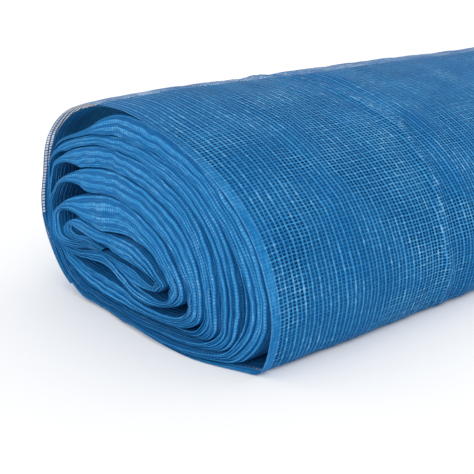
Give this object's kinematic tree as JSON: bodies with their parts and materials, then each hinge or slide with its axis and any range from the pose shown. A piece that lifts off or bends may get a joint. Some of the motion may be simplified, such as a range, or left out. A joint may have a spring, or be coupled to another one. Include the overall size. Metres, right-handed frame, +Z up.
{
  "type": "rolled scaffold facade mesh",
  "caption": "Blue knitted scaffold netting, folded in layers and wound into a slack, flattened roll that rests on its flat underside.",
  "frame": {"origin": "middle of the roll's footprint, on the surface it lies on", "axes": "+X along the roll's axis, away from the end whose spiral shows; +Z up; +Y across the roll"},
  "size_m": [0.6632, 0.2962, 0.1688],
  "materials": {
    "net": "knitted polyethylene yarn, slight plastic sheen"
  },
  "bodies": {
    "root": {"net_roll": "net"}
  },
  "joints": []
}
